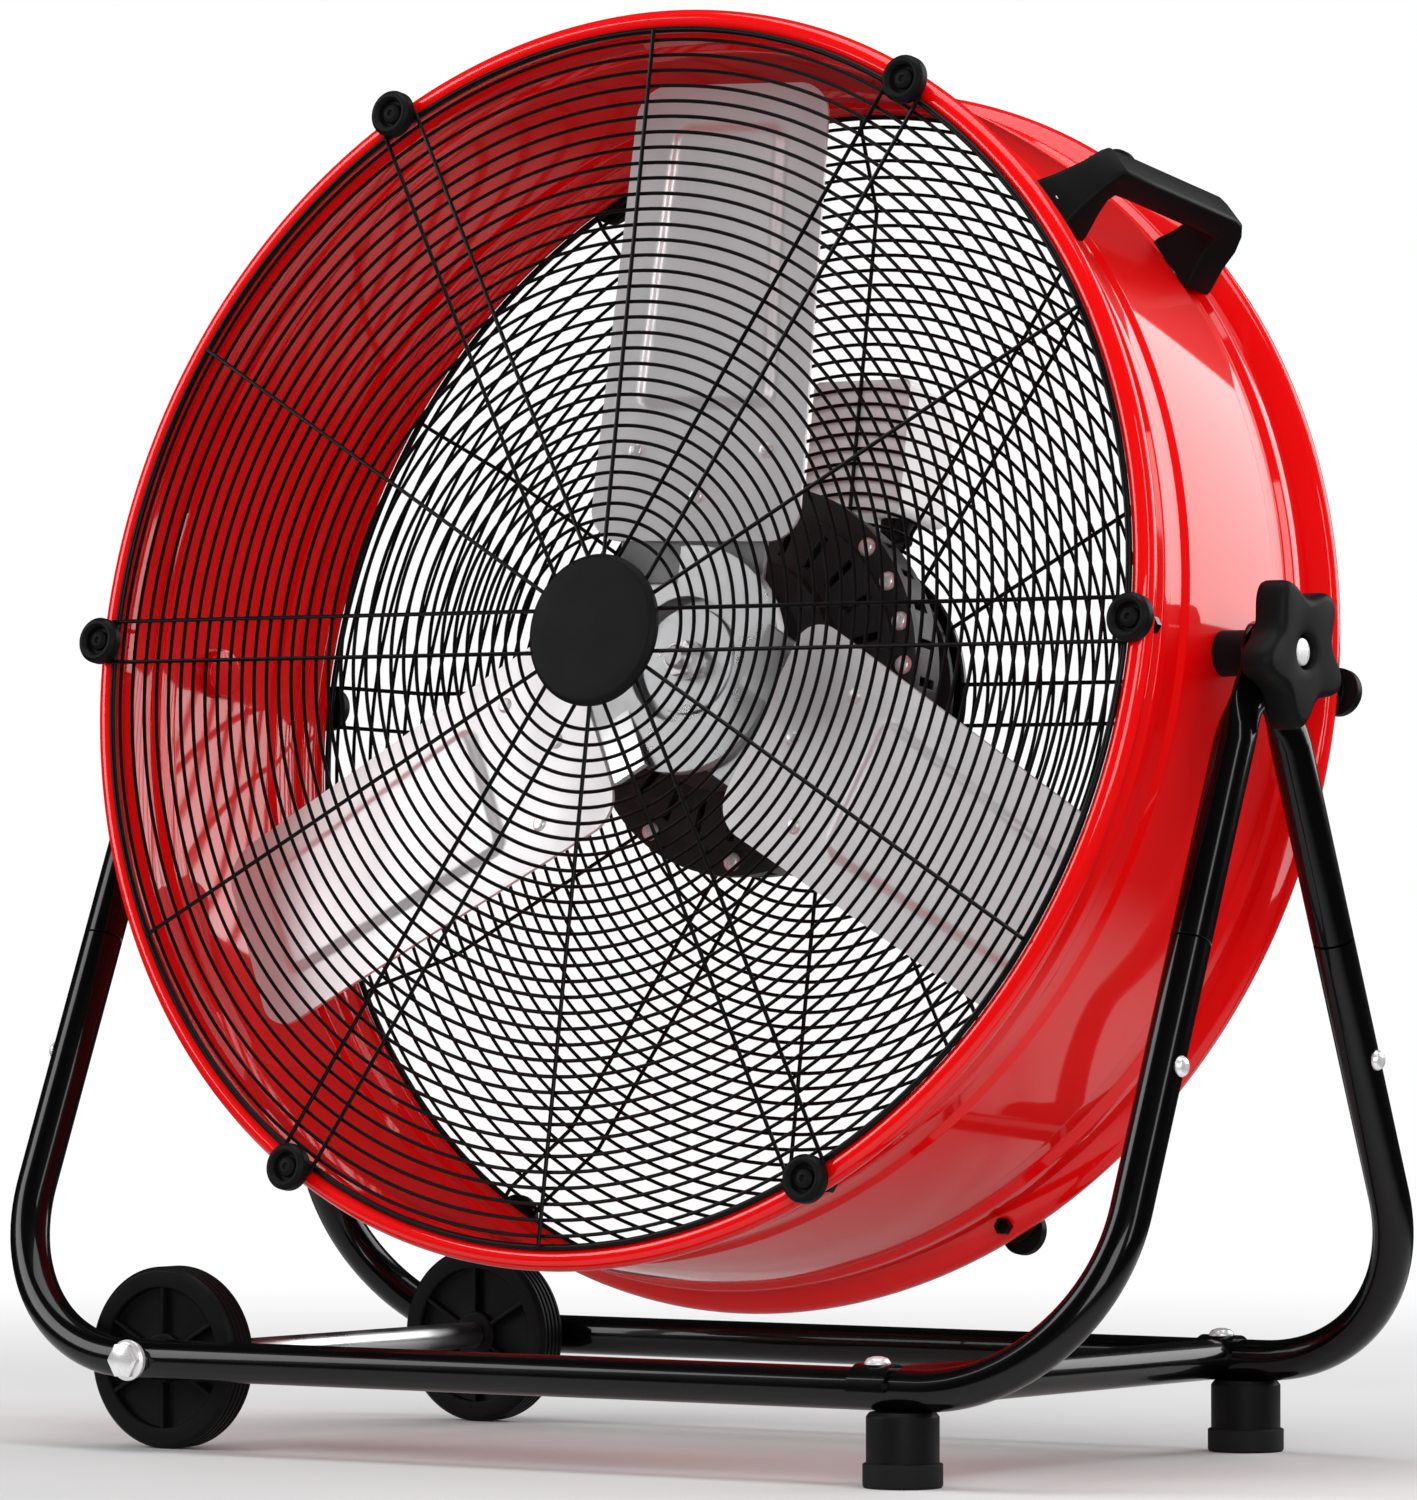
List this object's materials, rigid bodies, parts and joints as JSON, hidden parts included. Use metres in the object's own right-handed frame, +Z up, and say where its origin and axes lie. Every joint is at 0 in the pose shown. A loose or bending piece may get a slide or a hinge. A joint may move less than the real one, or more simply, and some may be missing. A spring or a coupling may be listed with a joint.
{
  "type": "tilting drum fan",
  "caption": "Tilting drum fan on a wheeled tube stand: red steel barrel with wire guards, pressed blades, a rear speed dial, a carry handle and clamp knobs at the pivots.",
  "frame": {"origin": "on the floor, below the middle of the fan's overall box", "axes": "+Z up; -Y is the side the air leaves by, the front; +X is the end with the two feet, -X the end with the two wheels"},
  "size_m": [0.7348, 0.39, 0.7456],
  "materials": {
    "red_paint": "gloss",
    "black_paint": "gloss",
    "black_wire": "satin",
    "black_plastic": "fine texture",
    "grey_plastic": "fine texture",
    "dark_motor": "satin",
    "blade_aluminium": "satin",
    "steel": "satin",
    "zinc": "bright",
    "copper": "satin",
    "rubber": "matt"
  },
  "bodies": {
    "stand": {"front_frame_tube": "black_paint", "rear_frame_tube": "black_paint", "leg_front_right": "black_paint", "leg_front_left": "black_paint", "leg_rear_right": "black_paint", "leg_rear_left": "black_paint", "leg_screws": "zinc", "crossbar": "black_paint", "crossbar_screws": "zinc", "axle_bolt": "zinc", "axle_nut": "zinc", "axle_washers": "zinc", "axle_tube": "steel", "foot_post_front": "black_plastic", "foot_post_rear": "black_plastic", "foot_boot_front": "rubber", "foot_boot_rear": "rubber"},
    "head": {"drum_shell": "red_paint", "front_guard_rings": "black_wire", "front_guard_wires": "black_wire", "rear_guard_rings": "black_wire", "rear_guard_wires": "black_wire", "front_cap": "black_plastic", "clip_washers": "black_plastic", "clip_screws": "zinc", "clip_nuts": "black_paint", "motor_front_bell": "dark_motor", "motor_rear_can": "dark_motor", "motor_flange_screws": "zinc", "stator_core": "steel", "stator_coils": "copper", "bearings": "steel", "mount_disc": "dark_motor", "mount_ring": "black_paint", "mount_screws": "zinc", "control_box": "grey_plastic", "control_box_cover": "grey_plastic", "box_screws": "zinc", "speed_switch": "black_plastic", "run_capacitor": "grey_plastic", "cable_gland": "black_plastic", "handle": "black_plastic", "handle_screws": "zinc", "pivot_spacers": "black_plastic", "pivot_bolts": "zinc"},
    "rotor": {"motor_shaft": "steel", "rotor_core": "steel", "blade_hub": "steel", "blade_spider": "steel", "blade_1": "blade_aluminium", "blade_2": "blade_aluminium", "blade_3": "blade_aluminium", "blade_rivets": "zinc", "hub_nut": "zinc"},
    "wheel_front": {"wheel_front": "black_plastic"},
    "wheel_rear": {"wheel_rear": "black_plastic"},
    "knob_left": {"knob_left": "black_plastic"},
    "knob_right": {"knob_right": "black_plastic"},
    "speed_dial": {"speed_dial": "black_plastic"}
  },
  "joints": [
    {"name": "head_tilt", "type": "hinge", "parent": "stand", "child": "head", "pos_m": [0, -0.01395, 0.4084], "axis": [-1, 0, 0], "range_deg": [-58, 42]},
    {"name": "rotor_spin", "type": "hinge", "parent": "head", "child": "rotor", "pos_m": [0, -0.01395, 0.4084], "axis": [0, -0.9871, 0.1599], "continuous": true},
    {"name": "wheel_front_roll", "type": "hinge", "parent": "stand", "child": "wheel_front", "pos_m": [-0.2389, -0.15095, 0.0474], "axis": [0, 1, 0], "continuous": true},
    {"name": "wheel_rear_roll", "type": "hinge", "parent": "stand", "child": "wheel_rear", "pos_m": [-0.2389, 0.12305, 0.0474], "axis": [0, 1, 0], "continuous": true},
    {"name": "knob_right_turn", "type": "hinge", "parent": "head", "child": "knob_right", "pos_m": [0.3564, -0.01395, 0.4084], "axis": [1, 0, 0], "continuous": true},
    {"name": "knob_left_turn", "type": "hinge", "parent": "head", "child": "knob_left", "pos_m": [-0.3564, -0.01395, 0.4084], "axis": [-1, 0, 0], "continuous": true},
    {"name": "speed_dial_turn", "type": "hinge", "parent": "head", "child": "speed_dial", "pos_m": [0, 0.17698, 0.51018], "axis": [0, 0.9871, -0.1599], "range_deg": [0, 270]}
  ]
}
